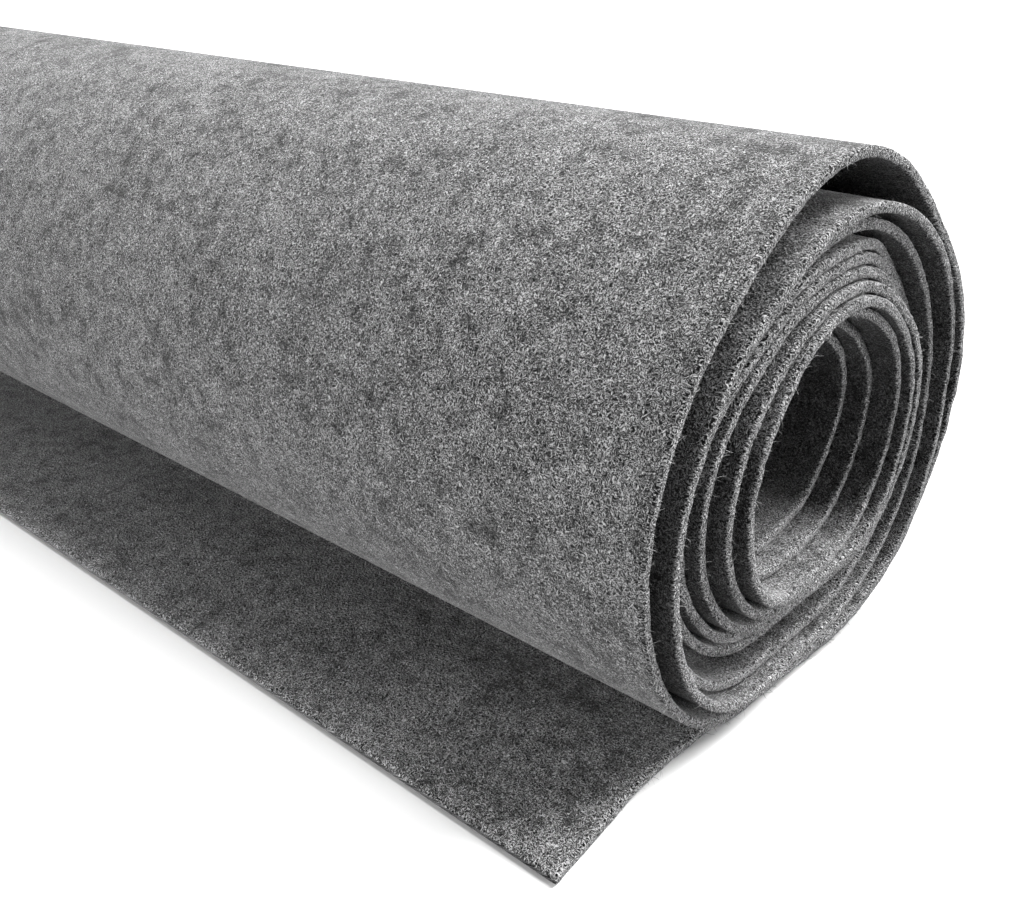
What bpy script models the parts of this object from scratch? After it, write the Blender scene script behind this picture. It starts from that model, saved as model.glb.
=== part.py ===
"""A roll of thick grey wool felt, lying on its side with its outer end let out in front.

Frame: metres, +Z up, X along the roll with the end that shows its turns at +X, the loose end
towards -Y, and the origin under the middle of the whole thing, on the surface it lies on.

The felt is one strip of even width and thickness. It starts at the free edge in front, runs flat
under the roll, climbs the back, passes over the top, comes down the front and winds inwards.
Each turn has its own distance from the next one and its own stand-out at the end of the roll.
"""
import math

import bmesh
import bpy

# Driving dimensions
FELT_WIDTH = 1.000          # width of the felt, which is the length of the roll
FELT_THICK = 0.003
CORE_HEIGHT = 0.078         # height of the winding's middle above the surface
LOOSE_REACH = 0.1145        # from under the winding's middle forward to the free edge
LOOSE_ARCH = 0.0012         # how far the loose end lifts off the surface between two shares
LOOSE_ARCH_SHARES = (0.1, 0.6)
FLAT_DIP = 0.003            # how far the round form would reach below its flat underside
FLAT_TURNS = 6              # the turns over which the underside grows from flat to round
FLAT_BLEND = 0.0015         # half the height over which the flat underside runs into the round
STEPS_PER_TURN = 48
LOOSE_STEPS = 10

# Eight directions seen from the +X end, an eighth of a turn apart, in the order of winding
DIRECTIONS = ("bottom", "low_back", "back", "high_back", "top", "high_front", "front", "low_front")
TURN_ANGLE = 360.0
STEP_ANGLE = TURN_ANGLE / len(DIRECTIONS)

# Outer face of the outermost turn, in mm from the winding's middle
OUTER_RADIUS_MM = (81.0, 83.5, 77.6, 69.3, 78.0, 77.5, 85.5, 87.5)

# Air between a turn and the next one in, in mm
GAP_MM = (
    # bottom, low_back, back, high_back, top, high_front, front, low_front
    (1.0, 0.8, 1.4, 1.1, 11.0, 7.6, 4.6, 3.0),
    (1.1, 0.9, 3.1, 3.0, 1.4, 0.7, 0.5, 1.0),
    (1.2, 0.6, 0.5, 1.0, 2.4, 0.8, 1.1, 5.5),
    (4.5, 1.4, 0.6, 0.6, 0.6, 0.6, 1.0, 1.4),
    (1.2, 0.5, 0.5, 0.6, 0.6, 0.5, 0.6, 1.2),
    (1.1, 0.5, 0.5, 0.6, 0.7, 1.8, 3.8, 2.6),
    (0.8, 0.6, 0.5, 0.5, 0.7, 1.6, 3.3, 1.8),
    (0.6, 0.6, 0.8, 0.6, 0.6, 0.6, 0.6, 0.6),
    (0.5, 0.6, 1.0, 0.6, 0.6, 0.6, 0.6, 0.6),
    (0.5, 0.6, 1.0, 0.6, 0.6, 0.6, 0.6, 0.6),
)

# How far each turn's cut edge stands out at the +X end, in mm
STAND_OUT_MM = (
    # bottom, low_back, back, high_back, top, high_front, front, low_front
    (4.0, 7.0, 9.8, 8.0, 5.0, 4.5, 4.5, 4.5),
    (5.5, 8.0, 8.2, 8.5, 7.5, 7.5, 7.5, 7.5),
    (6.0, 4.5, 4.4, 4.5, 5.0, 4.0, 3.0, 2.5),
    (2.0, 1.0, 0.5, -1.0, 5.0, 3.5, 0.0, -1.0),
    (-1.0, -0.5, 0.0, 0.5, 5.5, 4.0, 1.0, 0.0),
    (0.0, 0.0, 0.5, 2.5, 5.5, 5.0, 4.5, 4.0),
    (4.0, 5.0, 7.4, 6.5, 6.5, 7.0, 7.5, 7.0),
    (6.0, 5.6, 6.9, 7.0, 8.0, 9.0, 9.5, 9.0),
    (6.0, 2.0, 3.7, 4.5, 3.0, 2.0, 0.0, -1.0),
    (-2.0, -6.0, -3.7, -3.5, -5.0, -6.0, -7.0, -7.5),
    (-8.5, -13.0, -9.5, -8.5, -12.0, -13.0, -14.0, -14.0),
)
TURNS = len(STAND_OUT_MM)

# The same stand-out along the loose end, from the free edge to the middle of the roll
LOOSE_STAND_OUT_MM = (4.1, 0.4, 0.2, 4.0)

FELT_COLOUR = (0.21, 0.21, 0.21, 1.0)
FELT_ROUGHNESS = 0.95
SHARP_ANGLE = 40.0


def clear_scene():
    for item in list(bpy.data.objects):
        bpy.data.objects.remove(item, do_unlink=True)


def metres(lengths_mm):
    return [length / 1000 for length in lengths_mm]


def smooth_value(values, place):
    """A smooth curve through evenly spaced values, read at a place counted in values."""
    first = min(max(int(math.floor(place)), 0), len(values) - 2)
    u = place - first
    before = values[max(first - 1, 0)]
    here = values[first]
    after = values[first + 1]
    beyond = values[min(first + 2, len(values) - 1)]
    bend = 2 * before - 5 * here + 4 * after - beyond
    twist = 3 * here - before - 3 * after + beyond
    return 0.5 * (2 * here + (after - before) * u + bend * u ** 2 + twist * u ** 3)


def turn_radii():
    """Outer radius of every turn in every direction, one after another along the winding."""
    row = metres(OUTER_RADIUS_MM)
    radii = list(row)
    for gaps in GAP_MM:
        row = [radius - FELT_THICK - gap for radius, gap in zip(row, metres(gaps))]
        radii += row
    closing_gap = metres(GAP_MM[-1])[0]
    radii.append(row[0] - FELT_THICK - closing_gap)
    return radii


def flattened(height, level):
    """Height of a face that lies flat at a level, and leaves it in a soft bend."""
    above = height - level
    if above <= -FLAT_BLEND:
        return level
    if above >= FLAT_BLEND:
        return height
    return level + (above + FLAT_BLEND) ** 2 / (4 * FLAT_BLEND)


def loose_line():
    """Near edge of the loose end's underside, from its free edge to the bottom of the roll."""
    stand_outs = metres(LOOSE_STAND_OUT_MM)
    arch_start, arch_end = LOOSE_ARCH_SHARES
    line = []
    for step in range(LOOSE_STEPS):
        share = step / LOOSE_STEPS
        along_arch = min(max((share - arch_start) / (arch_end - arch_start), 0.0), 1.0)
        x = smooth_value(stand_outs, share * (len(stand_outs) - 1))
        y = -LOOSE_REACH * (1 - share)
        z = LOOSE_ARCH * math.sin(math.pi * along_arch) ** 2
        line.append((x, y, z))
    return line


def wound_line():
    """Near edge of the turns' outer face, from the bottom of the roll inwards."""
    radii = turn_radii()
    bottom_radii = radii[::len(DIRECTIONS)]
    stand_outs = [length for row in STAND_OUT_MM for length in metres(row)]
    last_angle = TURN_ANGLE * TURNS - STEP_ANGLE
    steps = round(STEPS_PER_TURN * last_angle / TURN_ANGLE)
    line = []
    for step in range(steps + 1):
        angle = last_angle * step / steps
        radius = smooth_value(radii, angle / STEP_ANGLE)
        turn = round(angle / TURN_ANGLE)
        dip = FLAT_DIP * max(0.0, 1 - turn / FLAT_TURNS)
        level = CORE_HEIGHT + dip - bottom_radii[turn]
        x = smooth_value(stand_outs, angle / STEP_ANGLE)
        y = radius * math.sin(math.radians(angle))
        z = CORE_HEIGHT - radius * math.cos(math.radians(angle))
        line.append((x, y, flattened(z, level)))
    return line


def felt_sheet(line):
    """The strip's outer face: its near edge as a chain of points, swept along the felt's width."""
    x_middle = (max(x for x, y, z in line) + min(x for x, y, z in line) - FELT_WIDTH) / 2
    y_middle = (max(y for x, y, z in line) + min(y for x, y, z in line)) / 2
    form = bmesh.new()
    corners = [form.verts.new((x - x_middle, y - y_middle, z)) for x, y, z in line]
    chain = [form.edges.new(pair) for pair in zip(corners, corners[1:])]
    swept = bmesh.ops.extrude_edge_only(form, edges=chain)
    far_corners = [item for item in swept["geom"] if isinstance(item, bmesh.types.BMVert)]
    bmesh.ops.translate(form, verts=far_corners, vec=(-FELT_WIDTH, 0.0, 0.0))
    sheet = bpy.data.meshes.new("felt_roll")
    form.to_mesh(sheet)
    form.free()
    return sheet


def felt_material():
    material = bpy.data.materials.new("grey_felt")
    material.use_nodes = True
    shader = material.node_tree.nodes["Principled BSDF"]
    shader.inputs["Base Color"].default_value = FELT_COLOUR
    shader.inputs["Roughness"].default_value = FELT_ROUGHNESS
    shader.inputs["Metallic"].default_value = 0.0
    material.diffuse_color = FELT_COLOUR
    return material


def main():
    clear_scene()
    collection = bpy.data.collections.new("roll_of_felt")
    bpy.context.scene.collection.children.link(collection)
    sheet = felt_sheet(loose_line() + wound_line())
    sheet.materials.append(felt_material())
    sheet.shade_smooth()
    sheet.set_sharp_from_angle(angle=math.radians(SHARP_ANGLE))
    roll = bpy.data.objects.new("felt_roll", sheet)
    collection.objects.link(roll)
    thickness = roll.modifiers.new("felt_thickness", "SOLIDIFY")
    thickness.thickness = FELT_THICK
    thickness.offset = -1.0
    thickness.use_even_offset = True


main()
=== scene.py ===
"""The looks of a roll of thick heather-grey wool felt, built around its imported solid.

The felt is one strip, wound as in the solid that it replaces, with rounded cut edges, loose fibres
along them, and a surface of light and dark wool laid in every direction.
"""
import math

import bpy
import numpy as np
from mathutils import Euler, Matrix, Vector


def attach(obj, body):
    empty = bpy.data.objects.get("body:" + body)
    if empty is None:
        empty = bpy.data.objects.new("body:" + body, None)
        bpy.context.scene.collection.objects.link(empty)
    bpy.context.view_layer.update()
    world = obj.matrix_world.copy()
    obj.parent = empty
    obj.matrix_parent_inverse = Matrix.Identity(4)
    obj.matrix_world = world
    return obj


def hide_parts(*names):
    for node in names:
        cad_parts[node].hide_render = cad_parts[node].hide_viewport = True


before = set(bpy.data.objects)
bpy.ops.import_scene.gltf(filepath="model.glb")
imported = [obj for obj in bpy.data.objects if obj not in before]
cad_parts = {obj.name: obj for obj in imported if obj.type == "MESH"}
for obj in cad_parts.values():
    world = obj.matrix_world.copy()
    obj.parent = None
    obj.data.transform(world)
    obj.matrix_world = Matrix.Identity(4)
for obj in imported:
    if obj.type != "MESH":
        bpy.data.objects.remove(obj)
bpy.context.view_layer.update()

# The felt and how it is wound, the same as in the solid
FELT_WIDTH = 1.000
FELT_THICK = 0.003
CORE_HEIGHT = 0.078         # height of the winding's middle above the surface
LOOSE_REACH = 0.1145        # from under the winding's middle forward to the free edge
LOOSE_ARCH = 0.0012         # how far the loose end lifts off the surface between two shares
LOOSE_ARCH_SHARES = (0.1, 0.6)
FLAT_DIP = 0.003            # how far the round form would reach below its flat underside
FLAT_TURNS = 6              # the turns over which the underside grows from flat to round
FLAT_BLEND = 0.0015         # half the height over which the flat underside runs into the round

# Eight directions seen from the +X end, an eighth of a turn apart, in the order of winding
DIRECTIONS = ("bottom", "low_back", "back", "high_back", "top", "high_front", "front", "low_front")
TURN_ANGLE = 360.0
STEP_ANGLE = TURN_ANGLE / len(DIRECTIONS)

# Outer face of the outermost turn, in mm from the winding's middle
OUTER_RADIUS_MM = (81.0, 83.5, 77.6, 69.3, 78.0, 77.5, 85.5, 87.5)

# Air between a turn and the next one in, in mm
GAP_MM = (
    # bottom, low_back, back, high_back, top, high_front, front, low_front
    (1.0, 0.8, 1.4, 1.1, 11.0, 7.6, 4.6, 3.0),
    (1.1, 0.9, 3.1, 3.0, 1.4, 0.7, 0.5, 1.0),
    (1.2, 0.6, 0.5, 1.0, 2.4, 0.8, 1.1, 5.5),
    (4.5, 1.4, 0.6, 0.6, 0.6, 0.6, 1.0, 1.4),
    (1.2, 0.5, 0.5, 0.6, 0.6, 0.5, 0.6, 1.2),
    (1.1, 0.5, 0.5, 0.6, 0.7, 1.8, 3.8, 2.6),
    (0.8, 0.6, 0.5, 0.5, 0.7, 1.6, 3.3, 1.8),
    (0.6, 0.6, 0.8, 0.6, 0.6, 0.6, 0.6, 0.6),
    (0.5, 0.6, 1.0, 0.6, 0.6, 0.6, 0.6, 0.6),
    (0.5, 0.6, 1.0, 0.6, 0.6, 0.6, 0.6, 0.6),
)

# How far each turn's cut edge stands out at the +X end, in mm
STAND_OUT_MM = (
    # bottom, low_back, back, high_back, top, high_front, front, low_front
    (4.0, 7.0, 9.8, 8.0, 5.0, 4.5, 4.5, 4.5),
    (5.5, 8.0, 8.2, 8.5, 7.5, 7.5, 7.5, 7.5),
    (6.0, 4.5, 4.4, 4.5, 5.0, 4.0, 3.0, 2.5),
    (2.0, 1.0, 0.5, -1.0, 5.0, 3.5, 0.0, -1.0),
    (-1.0, -0.5, 0.0, 0.5, 5.5, 4.0, 1.0, 0.0),
    (0.0, 0.0, 0.5, 2.5, 5.5, 5.0, 4.5, 4.0),
    (4.0, 5.0, 7.4, 6.5, 6.5, 7.0, 7.5, 7.0),
    (6.0, 5.6, 6.9, 7.0, 8.0, 9.0, 9.5, 9.0),
    (6.0, 2.0, 3.7, 4.5, 3.0, 2.0, 0.0, -1.0),
    (-2.0, -6.0, -3.7, -3.5, -5.0, -6.0, -7.0, -7.5),
    (-8.5, -13.0, -9.5, -8.5, -12.0, -13.0, -14.0, -14.0),
)
TURNS = len(STAND_OUT_MM)

# The same stand-out along the loose end, from the free edge to the middle of the roll
LOOSE_STAND_OUT_MM = (4.1, 0.4, 0.2, 4.0)

# The finer form of the strip
STEPS_PER_TURN = 144
LOOSE_STEPS = 44
EDGE_ROUNDING = 0.0007      # how far a cut edge's middle stands out past its two corners
EDGE_SQUARENESS = 3.0       # 2 gives a cut edge a round section, and more gives it a flatter one
EDGE_STEPS = 8
EDGE_REACH = 0.02           # how far in from a cut edge its unevenness is felt
END_FULLNESS = 0.35         # share of the thickness left at the very ends of the strip

# Lines along the strip by their distance from a cut edge, and stations close to its two ends
COLUMNS_FROM_EDGE = (0.0012, 0.005, 0.014, 0.030, 0.060, 0.110, 0.180, 0.270, 0.380)
END_STEPS = (0.0, 0.0003, 0.0008, 0.0014, 0.0022)

# Unevenness of the cut edges, as size of feature and depth, with one seed for each edge
EDGE_WANDER = ((0.035, 0.00035), (0.006, 0.00014), (0.0024, 0.00020))
NEAR_WANDER_SEED = 11
FAR_WANDER_SEED = 12
SPARE_KNOTS = 4             # of the unevenness, past the strip's end

# Loose fibres of the cut edges
EDGE_FIBRES = 6500          # along each of the two cut edges
FIBRE_STEPS = 4
FIBRE_SIDES = 3
FIBRE_RADIUS = 0.00007
FIBRE_TAPER = 0.75          # share of its radius that a fibre has lost at its tip
FIBRE_ROOT = 0.0002         # how deep in the felt a fibre starts
FIBRE_LENGTHS = (0.0006, 0.0032)
FIBRE_SHORTNESS = 3         # 1 makes long fibres as common as short ones, and more makes them rarer
FIBRE_DEPTHS = (0.02, 0.98)     # between these shares of the thickness they stand
FIBRE_OUTWARD = (0.15, 1.0)     # how strongly they head out of the edge
FIBRE_LEAN = 0.9            # how strongly they head along it
FIBRE_STRAYING = 0.25
FIBRE_CURL = 1.6
FIBRE_END_MARGIN = 0.001    # length at either end of the strip that bears none
NEAR_FIBRES_SEED = 21
FAR_FIBRES_SEED = 22

# Wool, as shares of light sent back
DARK_WOOL = 0.004
MID_WOOL = 0.05
LIGHT_WOOL = 0.34
PALEST_WOOL = 0.42
LOOSE_DARK_WOOL = 0.06
LOOSE_LIGHT_WOOL = 0.56
EDGE_PALENESS_AND_PAINTED_LIGHT = 0.65        # how much lighter the cut edges are than the faces, as a share: partly the paler fibre ends, partly painted light where the edges catch the light

# Fibres in the felt's surface, in layers from the lowest up
FIBRE_LAYERS = (
    # angle, length, width, fineness, wool
    (12.0, 0.0020, 0.00072, 0.048, LIGHT_WOOL),
    (101.0, 0.0018, 0.00068, 0.046, DARK_WOOL),
    (57.0, 0.0019, 0.00072, 0.045, LIGHT_WOOL),
    (146.0, 0.0017, 0.00066, 0.038, DARK_WOOL),
    (78.0, 0.0022, 0.00072, 0.036, LIGHT_WOOL),
    (28.0, 0.0020, 0.00068, 0.030, DARK_WOOL),
    (122.0, 0.0024, 0.00074, 0.022, LIGHT_WOOL),
)
LAYER_SHIFT = Vector((0.37, 0.61, 0.013))   # between the patterns of two layers
FIBRE_HEART = 0.3           # share of a fibre's width that it covers fully

# Sizes of what varies over the felt, and how strongly it varies
CURL_SIZE = 0.0020
CURL_REACH = 0.0017
GROUND_SIZE = 0.0006
GROUND_CONTRAST = 1.4
CLUMP_SIZE = 0.0065
CLUMP_CONTRAST = 2.1
PATCH_SIZE = 0.032
PATCH_CONTRAST = 0.9
GRAIN_SIZE = 0.00042
GRAIN_CONTRAST = 3.9
EDGE_GRAIN_CONTRAST = 4.5   # added on the cut edges
FLECK_SIZE = 0.0014
FLECK_RANGE = (0.5, 0.72)
FLECK_DARKNESS = 0.6
FLECK_BALANCE = 1.08        # makes up for what the flecks take from the mean
FUZZ_SIZE = 0.0008
FUZZ_HEIGHT = 0.0005
FUZZ_STRENGTH = 0.6
EDGE_FUZZ = 1.6             # added on the cut edges, as a share
LOOSE_WOOL_SIZE = 0.004
LOOSE_WOOL_RANGE = (0.38, 0.58)

# The studio
FLOOR_SIZE = 40.0
FLOOR_DROP = 0.0002
FLOOR_SHADE = 0.86
SKY_STRENGTH = 0.20
LIGHT_DISTANCE = 3.0
STUDIO_LIGHTS = (
    # name, azimuth, elevation, softness, strength
    ("front_light", -55.0, 4.5, 20.0, 7.4),
    ("end_light", 106.0, 8.0, 24.0, 3.7),
    ("back_light", 156.0, 45.0, 26.0, 5.0),
    ("top_light", 170.0, 68.0, 30.0, 3.8),
)

# The camera stands before the near end, off to the front of the roll
EYE_FROM_END = Vector((0.12757, -0.26828, 0.209))
CAMERA_TILT = 63.98
CAMERA_TURN = 41.78
CAMERA_LENS = 40.0
CAMERA_SENSOR = 36.0
NEAREST_SEEN = 0.01


def metres(lengths_mm):
    return [length / 1000 for length in lengths_mm]


def smooth_value(values, place):
    """A smooth curve through evenly spaced values, read at a place counted in values."""
    first = min(max(int(math.floor(place)), 0), len(values) - 2)
    u = place - first
    before = values[max(first - 1, 0)]
    here = values[first]
    after = values[first + 1]
    beyond = values[min(first + 2, len(values) - 1)]
    bend = 2 * before - 5 * here + 4 * after - beyond
    twist = 3 * here - before - 3 * after + beyond
    return 0.5 * (2 * here + (after - before) * u + bend * u ** 2 + twist * u ** 3)


def turn_radii():
    """Outer radius of every turn in every direction, one after another along the winding."""
    row = metres(OUTER_RADIUS_MM)
    radii = list(row)
    for gaps in GAP_MM:
        row = [radius - FELT_THICK - gap for radius, gap in zip(row, metres(gaps))]
        radii += row
    closing_gap = metres(GAP_MM[-1])[0]
    radii.append(row[0] - FELT_THICK - closing_gap)
    return radii


def flattened(height, level):
    """Height of a face that lies flat at a level, and leaves it in a soft bend."""
    above = height - level
    if above <= -FLAT_BLEND:
        return level
    if above >= FLAT_BLEND:
        return height
    return level + (above + FLAT_BLEND) ** 2 / (4 * FLAT_BLEND)


def loose_line():
    """Near edge of the loose end's underside, from its free edge to the bottom of the roll."""
    stand_outs = metres(LOOSE_STAND_OUT_MM)
    arch_start, arch_end = LOOSE_ARCH_SHARES
    shares = [length / LOOSE_REACH for length in END_STEPS]
    even_shares = [step / LOOSE_STEPS for step in range(LOOSE_STEPS)]
    shares += [share for share in even_shares if share > shares[-1]]
    line = []
    for share in shares:
        along_arch = min(max((share - arch_start) / (arch_end - arch_start), 0.0), 1.0)
        x = smooth_value(stand_outs, share * (len(stand_outs) - 1))
        y = -LOOSE_REACH * (1 - share)
        z = LOOSE_ARCH * math.sin(math.pi * along_arch) ** 2
        line.append((x, y, z))
    return line


def wound_line():
    """Near edge of the turns' outer face, from the bottom of the roll inwards."""
    radii = turn_radii()
    bottom_radii = radii[::len(DIRECTIONS)]
    stand_outs = [length for row in STAND_OUT_MM for length in metres(row)]
    last_angle = TURN_ANGLE * TURNS - STEP_ANGLE
    steps = round(STEPS_PER_TURN * last_angle / TURN_ANGLE)
    end_angles = [math.degrees(length / radii[-1]) for length in END_STEPS]
    angles = [last_angle * step / steps for step in range(steps)]
    angles = [angle for angle in angles if angle < last_angle - end_angles[-1]]
    angles += [last_angle - angle for angle in reversed(end_angles)]
    line = []
    for angle in angles:
        radius = smooth_value(radii, angle / STEP_ANGLE)
        turn = round(angle / TURN_ANGLE)
        dip = FLAT_DIP * max(0.0, 1 - turn / FLAT_TURNS)
        level = CORE_HEIGHT + dip - bottom_radii[turn]
        x = smooth_value(stand_outs, angle / STEP_ANGLE)
        y = radius * math.sin(math.radians(angle))
        z = CORE_HEIGHT - radius * math.cos(math.radians(angle))
        line.append((x, y, flattened(z, level)))
    return line


def soft_noise(places, grain, rng):
    """Smooth noise between -1 and 1 along one distance, with a feature about a grain long."""
    count = int(places.max() / grain) + SPARE_KNOTS
    knots = rng.uniform(-1, 1, count)
    at = places / grain
    first = np.floor(at).astype(int)
    u = at - first
    u = u * u * (3 - 2 * u)
    return knots[first] * (1 - u) + knots[first + 1] * u


def edge_wander(places, seed):
    """How far a cut edge strays from its smooth line at each place along the strip."""
    rng = np.random.default_rng(seed)
    return sum(depth * soft_noise(places, grain, rng) for grain, depth in EDGE_WANDER)


class Strip:
    """The strip's section line: places, distance along it, and directions square to it."""

    def __init__(self):
        line = np.array(loose_line() + wound_line())
        self.stand_out = line[:, 0]
        self.outer = line[:, 1:]
        steps = np.diff(self.outer, axis=0)
        self.along = np.concatenate([[0.0], np.cumsum(np.hypot(steps[:, 0], steps[:, 1]))])
        tangent = np.gradient(self.outer, self.along, axis=0)
        tangent /= np.hypot(tangent[:, 0], tangent[:, 1])[:, None]
        self.inward = np.stack([-tangent[:, 1], tangent[:, 0]], axis=1)
        middle = np.diff(self.outer + self.inward * FELT_THICK / 2, axis=0)
        self.cut_length = float(np.hypot(middle[:, 0], middle[:, 1]).sum())
        self.length = self.along[-1]
        self.x_middle = (self.stand_out.max() + self.stand_out.min() - FELT_WIDTH) / 2
        self.y_middle = (self.outer[:, 0].max() + self.outer[:, 0].min()) / 2
        self.near_wander = edge_wander(self.along, NEAR_WANDER_SEED)
        self.far_wander = edge_wander(self.along, FAR_WANDER_SEED)


def edge_bulge(depth):
    """Share of its rounding that a cut edge reaches at a share of the felt's depth."""
    return (1 - abs(2 * depth - 1) ** EDGE_SQUARENESS) ** (1 / EDGE_SQUARENESS)


def edge_profile():
    """Rounded form of a cut edge: depth from the outer face, and share of the rounding."""
    depths = [0.5 - 0.5 * math.cos(math.pi * step / EDGE_STEPS) for step in range(EDGE_STEPS + 1)]
    return [(depth, edge_bulge(depth)) for depth in depths]


def end_fullness(strip):
    """Share of the felt's thickness at each station: less at the strip's two rounded ends."""
    from_end = np.minimum(strip.along, strip.length - strip.along)
    short = np.clip(1 - from_end / END_STEPS[-1], 0, 1)
    return END_FULLNESS + (1 - END_FULLNESS) * np.sqrt(np.clip(1 - short ** 2, 0, 1))


def felt_ring():
    """One ring round the strip: distance across, depth, and rounding at the two cut edges."""
    near = list(COLUMNS_FROM_EDGE)
    across = near + [FELT_WIDTH / 2] + [FELT_WIDTH - distance for distance in reversed(near)]
    profile = edge_profile()
    ring = [(distance, 0.0, 0.0) for distance in reversed(across)]
    ring += [(0.0, depth, out) for depth, out in profile]
    ring += [(distance, 1.0, 0.0) for distance in across]
    ring += [(FELT_WIDTH, 1 - depth, out) for depth, out in profile]
    return ring


def felt_points(strip):
    """Every point of the strip, ring after ring, with its place in the opened-out felt."""
    ring = felt_ring()
    section = np.array([(across, depth * FELT_THICK) for across, depth, out in ring])
    around = np.concatenate([[0.0], np.cumsum(np.linalg.norm(np.diff(section, axis=0), axis=1))])
    full = end_fullness(strip)
    points = np.zeros((len(strip.along), len(ring), 3))
    flat = np.zeros_like(points)
    for column, (across, depth, out) in enumerate(ring):
        near = across < FELT_WIDTH / 2
        side = 1 if near else -1
        from_edge = across if near else FELT_WIDTH - across
        nearness = max(0.0, 1 - from_edge / EDGE_REACH)
        wander = strip.near_wander if near else strip.far_wander
        shift = nearness * (side * wander - side * EDGE_ROUNDING * (1 - out))
        into = FELT_THICK * (0.5 + (depth - 0.5) * full)
        place = strip.outer + strip.inward * into[:, None]
        points[:, column, 0] = strip.stand_out - strip.x_middle - across + shift
        points[:, column, 1] = place[:, 0] - strip.y_middle
        points[:, column, 2] = place[:, 1]
        flat[:, column, 0] = strip.along
        flat[:, column, 1] = around[column]
        flat[:, column, 2] = 1.0 if across in (0.0, FELT_WIDTH) else 0.0
    return points, flat


def felt_faces(stations, columns):
    """Four-sided faces round the strip from ring to ring, and across its two ends."""
    faces = []
    for station in range(stations - 1):
        here = station * columns
        after = here + columns
        for column in range(columns):
            following = (column + 1) % columns
            faces.append((here + column, here + following, after + following, after + column))
    last = (stations - 1) * columns
    for step in range(columns // 2 - 1):
        quad = (step, step + 1, columns - 2 - step, columns - 1 - step)
        faces.append(quad[::-1])
        faces.append(tuple(last + corner for corner in quad))
    return faces


def new_piece(name, points, flat, faces, rounds=None):
    """A piece with the places of its faces' corners in the opened-out felt, for the material."""
    mesh = bpy.data.meshes.new(name)
    mesh.from_pydata(points.reshape(-1, 3).tolist(), [], faces)
    mesh.update()
    corners = np.array([loop.vertex_index for loop in mesh.loops])
    corner_places = flat.reshape(-1, 3)[corners]
    if rounds:
        columns, perimeter = rounds
        closing = np.repeat([face[0] % columns == columns - 1 for face in faces],
                            [len(face) for face in faces])
        corner_places[closing & (corners % columns == 0), 1] += perimeter
    places = mesh.attributes.new("flat_felt", "FLOAT_VECTOR", "CORNER")
    places.data.foreach_set("vector", corner_places.astype(np.float32).ravel())
    mesh.shade_smooth()
    piece = bpy.data.objects.new(name, mesh)
    bpy.context.scene.collection.objects.link(piece)
    return piece


def felt_strip(strip):
    """The whole strip as one closed mesh."""
    points, flat = felt_points(strip)
    stations, columns = points.shape[:2]
    perimeter = 2 * (FELT_WIDTH + FELT_THICK)
    return new_piece("felt_strip", points, flat, felt_faces(stations, columns), (columns, perimeter))


def unit_rows(vectors):
    return vectors / np.linalg.norm(vectors, axis=1)[:, None]


def fibre_roots(strip, near, rng):
    """Where the loose fibres of one cut edge grow, and the ways in which they first head."""
    count = EDGE_FIBRES
    side = 1 if near else -1
    along = rng.uniform(FIBRE_END_MARGIN, strip.length - FIBRE_END_MARGIN, count)
    depth = rng.uniform(*FIBRE_DEPTHS, count)
    wander = np.interp(along, strip.along, strip.near_wander if near else strip.far_wander)
    stand_out = np.interp(along, strip.along, strip.stand_out)
    y, z = (np.interp(along, strip.along, values) for values in strip.outer.T)
    in_y, in_z = (np.interp(along, strip.along, values) for values in strip.inward.T)

    x = stand_out - strip.x_middle - (0 if near else FELT_WIDTH)
    x = x + side * (wander - EDGE_ROUNDING * (1 - edge_bulge(depth)))
    into = depth * FELT_THICK
    root = np.stack([x, y + in_y * into - strip.y_middle, z + in_z * into], 1)

    tilt = 2 * depth - 1
    outward = np.stack([np.full(count, float(side)), in_y * tilt, in_z * tilt], 1)
    lengthwise = np.stack([np.zeros(count), in_z, -in_y], 1)
    heading = outward * rng.uniform(*FIBRE_OUTWARD, (count, 1))
    heading += lengthwise * rng.normal(0, FIBRE_LEAN, (count, 1))
    heading += rng.normal(0, FIBRE_STRAYING, (count, 3))
    return along, root, unit_rows(heading)


def fibre_spines(root, heading, rng):
    """The curled middle line of each fibre, with the way in which its tip heads."""
    count = len(root)
    shortest, longest = FIBRE_LENGTHS
    length = shortest + (longest - shortest) * rng.uniform(0, 1, count) ** FIBRE_SHORTNESS
    turn = rng.normal(0, FIBRE_CURL, (count, 3))
    spine = [root - heading * FIBRE_ROOT]
    for step in range(FIBRE_STEPS):
        straying = rng.normal(0, FIBRE_STRAYING, (count, 3))
        heading = unit_rows(heading + (turn + straying) / FIBRE_STEPS)
        spine.append(spine[-1] + heading * (length / FIBRE_STEPS)[:, None])
    spine = np.stack(spine, 1)
    spine[:, :, 2] = np.maximum(spine[:, :, 2], 2 * FIBRE_RADIUS)
    return spine, heading


def fibre_points(spine, heading, rng):
    """Rings of points round each fibre's middle line, smaller towards its tip."""
    across = unit_rows(np.cross(heading, rng.normal(0, 1, heading.shape)))
    upward = np.cross(heading, across)
    points = []
    for step in range(FIBRE_STEPS + 1):
        radius = FIBRE_RADIUS * (1 - FIBRE_TAPER * step / FIBRE_STEPS)
        for corner in range(FIBRE_SIDES):
            angle = 2 * math.pi * corner / FIBRE_SIDES
            points.append(spine[:, step] + radius * (math.cos(angle) * across + math.sin(angle) * upward))
    return np.stack(points, 1)


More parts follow.
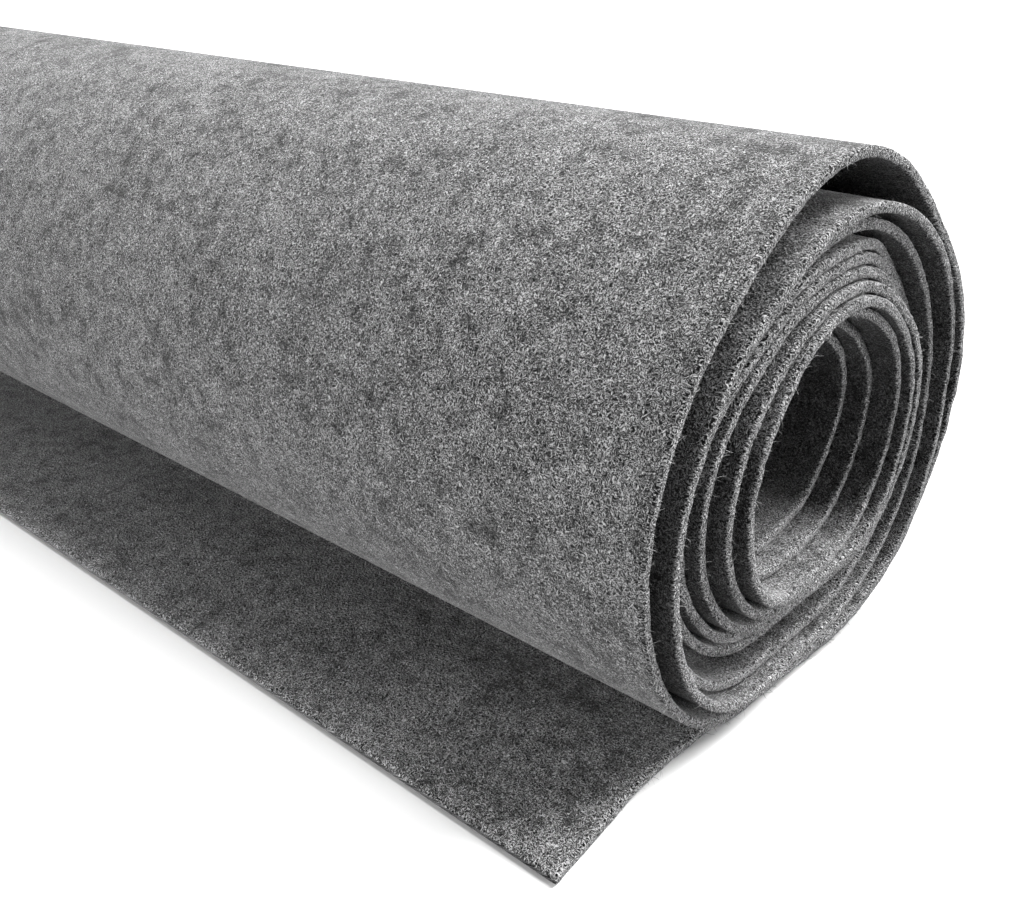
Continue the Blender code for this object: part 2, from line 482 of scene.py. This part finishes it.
def fibre_faces(count):
    """Faces round each of a number of fibres, and over their two ends."""
    one_fibre = []
    for step in range(FIBRE_STEPS):
        here = step * FIBRE_SIDES
        after = here + FIBRE_SIDES
        for corner in range(FIBRE_SIDES):
            following = (corner + 1) % FIBRE_SIDES
            one_fibre.append((here + corner, here + following, after + following, after + corner))
    root_face = tuple(reversed(range(FIBRE_SIDES)))
    tip_face = tuple(FIBRE_STEPS * FIBRE_SIDES + corner for corner in range(FIBRE_SIDES))
    one_fibre += [root_face, tip_face]
    points_each = (FIBRE_STEPS + 1) * FIBRE_SIDES
    return [tuple(fibre * points_each + corner for corner in face)
            for fibre in range(count) for face in one_fibre]


def edge_fibres(name, strip, near, seed):
    """Fine wool ends that stand out of one cut edge, each a closed tapered thread."""
    rng = np.random.default_rng(seed)
    along, root, heading = fibre_roots(strip, near, rng)
    spine, heading = fibre_spines(root, heading, rng)
    points = fibre_points(spine, heading, rng)
    flat = np.zeros_like(points)
    flat[:, :, 0] = along[:, None]
    flat[:, :, 1] = rng.uniform(0, FELT_WIDTH, (len(root), 1))
    return new_piece(name, points, flat, fibre_faces(len(root)))


class Socket:
    """A material's value at each point of a surface, with arithmetic that adds Math nodes."""

    def __init__(self, tree, output):
        self.tree = tree
        self.output = output

    def math(self, operation, first, second):
        return self.node("ShaderNodeMath", {"operation": operation}, {0: first, 1: second})

    def node(self, kind, settings, values, output=0):
        made = self.tree.nodes.new(kind)
        for name, setting in settings.items():
            setattr(made, name, setting)
        for name, value in values.items():
            if isinstance(value, Socket):
                self.tree.links.new(value.output, made.inputs[name])
            else:
                made.inputs[name].default_value = value
        return Socket(self.tree, made.outputs[output])

    def __add__(self, other):
        return self.math("ADD", self, other)

    def __radd__(self, other):
        return self.math("ADD", other, self)

    def __sub__(self, other):
        return self.math("SUBTRACT", self, other)

    def __rsub__(self, other):
        return self.math("SUBTRACT", other, self)

    def __mul__(self, other):
        return self.math("MULTIPLY", self, other)

    def __rmul__(self, other):
        return self.math("MULTIPLY", other, self)

    def __abs__(self):
        return self.math("ABSOLUTE", self, 0.0)

    def between(self, low, high):
        """0 below a low value, 1 above a high one, and smooth between them."""
        ranges = {"From Min": low, "From Max": high, "To Min": 0.0, "To Max": 1.0}
        return self.node("ShaderNodeMapRange", {"interpolation_type": "SMOOTHSTEP"},
                         {"Value": self, **ranges})


def noise(place, size, detail=0.0):
    """Noise from 0 to 1 whose features are about a size across, at a place in the flat felt."""
    values = {"Vector": place, "Scale": 1 / size, "Detail": detail}
    return place.node("ShaderNodeTexNoise", {"noise_dimensions": "2D"}, values)


def laid_fibres(place, angle, length, width, fineness, layer):
    """Thin curved lines that run mostly in one direction: 1 on a fibre, 0 beside it."""
    values = {
        "Vector": place,
        "Location": LAYER_SHIFT * layer,
        "Rotation": (0.0, 0.0, math.radians(angle)),
        "Scale": (length, width, width),
    }
    drawn = place.node("ShaderNodeMapping", {"vector_type": "TEXTURE"}, values)
    return 1 - abs(noise(drawn, 1.0) - 0.5).between(fineness * FIBRE_HEART, fineness)


def curled_place(place):
    """A place in the flat felt, led astray a little, so that fibres curl."""
    values = {"Vector": place, "Scale": 1 / CURL_SIZE, "Detail": 1.0}
    drift = place.node("ShaderNodeTexNoise", {"noise_dimensions": "2D"}, values, "Color")
    drift = place.node("ShaderNodeVectorMath", {"operation": "SUBTRACT"}, {0: drift, 1: (0.5, 0.5, 0.5)})
    drift = place.node("ShaderNodeVectorMath", {"operation": "SCALE"}, {0: drift, "Scale": CURL_REACH})
    return place.node("ShaderNodeVectorMath", {"operation": "ADD"}, {0: place, 1: drift})


def laid_wool(curled):
    """Tone of the wool: an uneven ground under layers of fibres, light on dark on light."""
    tone = MID_WOOL * (1.0 + (noise(curled, GROUND_SIZE) - 0.5) * GROUND_CONTRAST)
    for layer, (angle, length, width, fineness, wool) in enumerate(FIBRE_LAYERS, start=1):
        cover = laid_fibres(curled, angle, length, width, fineness, layer)
        tone = tone + cover * (wool - tone)
    return tone


def new_material(name, roughness, specular=0.5):
    """A dull material with its shader."""
    material = bpy.data.materials.new(name)
    material.use_nodes = True
    shader = material.node_tree.nodes["Principled BSDF"]
    shader.inputs["Roughness"].default_value = roughness
    shader.inputs["Specular IOR Level"].default_value = specular
    return material, shader


def flat_felt_place(material):
    """Where a point of the surface lies in the opened-out felt."""
    settings = {"attribute_name": "flat_felt"}
    return Socket(material.node_tree, None).node("ShaderNodeAttribute", settings, {}, "Vector")


def feed_colour(shader, tone, blueness=1.0):
    """Give a shader one tone as its colour, with its blue a little stronger where asked."""
    blue = tone * blueness
    colour = tone.node("ShaderNodeCombineColor", {}, {0: tone, 1: tone, 2: blue})
    tone.tree.links.new(colour.output, shader.inputs["Base Color"])


def felt_material():
    """Heather felt: light and dark wool in thin layers, with clumps, patches, grain and flecks, and cut
    edges painted lighter, partly as painted light.
    """
    material, shader = new_material("heather_felt", roughness=0.92, specular=0.12)
    shader.inputs["Sheen Weight"].default_value = 0.10
    shader.inputs["Sheen Roughness"].default_value = 0.5
    place = flat_felt_place(material)
    cut_edge = place.node("ShaderNodeSeparateXYZ", {}, {0: place}, "Z")
    curled = curled_place(place)

    clumps = (noise(curled, CLUMP_SIZE, detail=2.0) - 0.5) * CLUMP_CONTRAST
    patches = (noise(place, PATCH_SIZE, detail=1.0) - 0.5) * PATCH_CONTRAST
    flecks = noise(curled, FLECK_SIZE, detail=1.0).between(*FLECK_RANGE)
    grain_contrast = GRAIN_CONTRAST + cut_edge * EDGE_GRAIN_CONTRAST
    grain = (noise(curled, GRAIN_SIZE) - 0.5) * grain_contrast
    # The cut edges are painted lighter: partly their paler fibre ends, partly painted light that stands
    # in for the light they catch.
    tone = laid_wool(curled) * (1.0 + clumps + patches + cut_edge * EDGE_PALENESS_AND_PAINTED_LIGHT)
    tone = tone * (1.0 + grain) * (FLECK_BALANCE - FLECK_DARKNESS * flecks)
    feed_colour(shader, tone.math("MINIMUM", tone, PALEST_WOOL), blueness=1.01)

    fuzz = noise(place, FUZZ_SIZE, detail=1.0) * (1.0 + cut_edge * EDGE_FUZZ)
    values = {"Strength": FUZZ_STRENGTH, "Distance": FUZZ_HEIGHT, "Height": fuzz}
    bump = place.node("ShaderNodeBump", {}, values)
    place.tree.links.new(bump.output, shader.inputs["Normal"])
    return material


def fibre_material():
    """Single wool fibres, some light and some dark."""
    material, shader = new_material("loose_wool", roughness=0.8, specular=0.2)
    place = flat_felt_place(material)
    paleness = noise(place, LOOSE_WOOL_SIZE).between(*LOOSE_WOOL_RANGE)
    feed_colour(shader, LOOSE_DARK_WOOL + (LOOSE_LIGHT_WOOL - LOOSE_DARK_WOOL) * paleness)
    return material


def floor_material():
    material, shader = new_material("pale_floor", roughness=0.9)
    shader.inputs["Base Color"].default_value = (FLOOR_SHADE, FLOOR_SHADE, FLOOR_SHADE, 1.0)
    return material


def studio_floor():
    """A plain pale floor that sends no light back up into the turns."""
    bpy.ops.mesh.primitive_plane_add(size=FLOOR_SIZE, location=(0.0, 0.0, -FLOOR_DROP))
    floor = bpy.context.object
    floor.name = "studio_floor"
    floor.data.materials.append(floor_material())
    floor.visible_diffuse = False
    return floor


def soft_sun(name, azimuth, elevation, softness, strength):
    """An even light from far off. Azimuth 0 stands in front, at -Y, and 90 at the +X end."""
    light = bpy.data.lights.new(name, "SUN")
    light.angle = math.radians(softness)
    light.energy = strength
    lamp = bpy.data.objects.new(name, light)
    bpy.context.scene.collection.objects.link(lamp)
    a, e = math.radians(azimuth), math.radians(elevation)
    away = Vector((math.sin(a) * math.cos(e), -math.cos(a) * math.cos(e), math.sin(e)))
    lamp.location = away * LIGHT_DISTANCE
    lamp.rotation_euler = away.to_track_quat("Z", "Y").to_euler()


def studio_lights():
    for name, azimuth, elevation, softness, strength in STUDIO_LIGHTS:
        soft_sun(name, azimuth, elevation, softness, strength)
    world = bpy.data.worlds.new("studio")
    world.use_nodes = True
    sky = world.node_tree.nodes["Background"]
    sky.inputs["Color"].default_value = (1.0, 1.0, 1.0, 1.0)
    sky.inputs["Strength"].default_value = SKY_STRENGTH
    bpy.context.scene.world = world


def studio_camera(strip):
    camera = bpy.data.objects.new("photo_camera", bpy.data.cameras.new("photo_camera"))
    camera.data.lens = CAMERA_LENS
    camera.data.sensor_width = CAMERA_SENSOR
    roll_end = Vector((-strip.x_middle, -strip.y_middle, 0.0))
    camera.location = roll_end + EYE_FROM_END
    camera.rotation_euler = Euler((math.radians(CAMERA_TILT), 0.0, math.radians(CAMERA_TURN)))
    camera.data.clip_start = NEAREST_SEEN
    bpy.context.scene.collection.objects.link(camera)
    bpy.context.scene.camera = camera


def loose_fibres(strip):
    """The loose fibres of both cut edges, each edge's as one piece."""
    wool = fibre_material()
    edges = (("near_edge_fibres", True, NEAR_FIBRES_SEED), ("far_edge_fibres", False, FAR_FIBRES_SEED))
    pieces = [edge_fibres(name, strip, near, seed) for name, near, seed in edges]
    for piece in pieces:
        piece.data.materials.append(wool)
        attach(piece, "root")
    return pieces


strip = Strip()
studio_camera(strip)
studio_lights()
floor = studio_floor()

felt = felt_strip(strip)
felt.data.materials.append(felt_material())
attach(felt, "root")
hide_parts("felt_roll")

fibres = loose_fibres(strip)

bpy.context.scene.view_settings.view_transform = "Standard"
